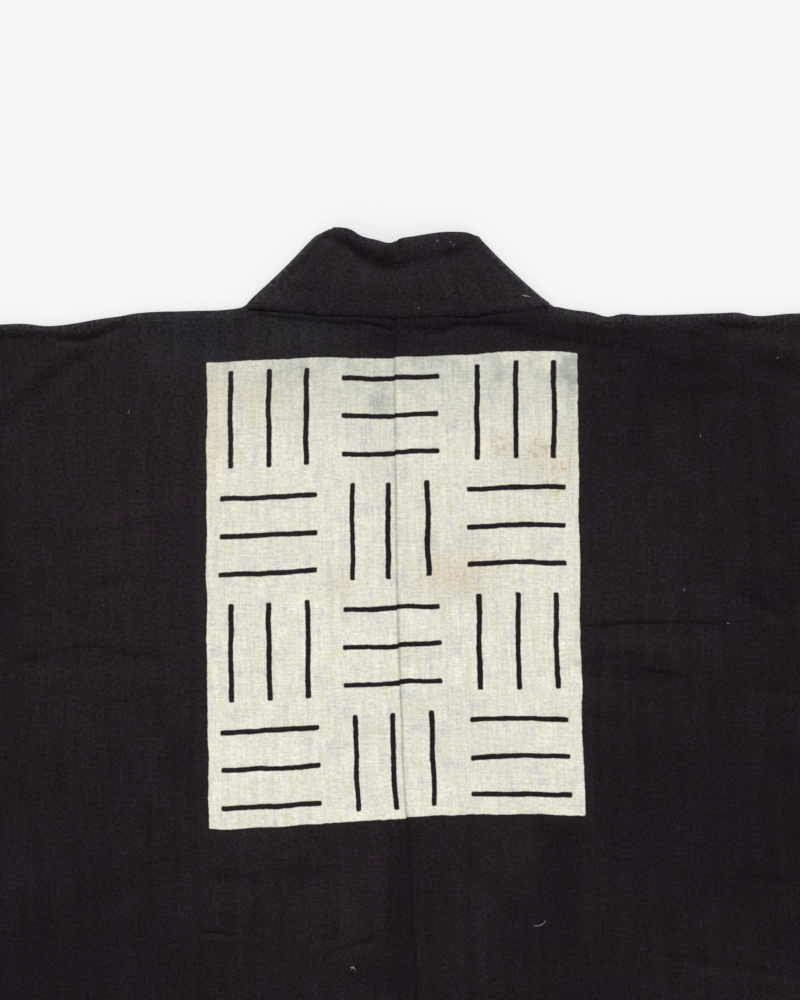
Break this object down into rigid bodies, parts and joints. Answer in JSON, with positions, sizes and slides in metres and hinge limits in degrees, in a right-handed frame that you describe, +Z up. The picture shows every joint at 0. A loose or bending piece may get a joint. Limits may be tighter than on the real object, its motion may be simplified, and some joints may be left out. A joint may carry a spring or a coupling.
{
  "type": "happi coat laid flat",
  "caption": "Straight-cut cotton happi coat with short straight sleeves and a plain doubled collar band, laid flat with its back up.",
  "frame": {"origin": "middle of the coat's outline, on the table that it lies on", "axes": "+Z up out of the table, the coat's back facing it; +Y towards the collar; +X along the shoulders, towards the wearer's right sleeve"},
  "size_m": [1.2637, 0.8434, 0.0101],
  "materials": {
    "dyed_cotton": "matt plain-weave cotton, dyed near black, slightly faded, with a resist-dyed cream block on the upper back",
    "collar_cotton": "the same cotton, doubled, a little more rubbed"
  },
  "bodies": {
    "root": {"body_left": "dyed_cotton", "body_right": "dyed_cotton", "sleeve_left": "dyed_cotton", "sleeve_right": "dyed_cotton", "collar": "collar_cotton"}
  },
  "joints": []
}
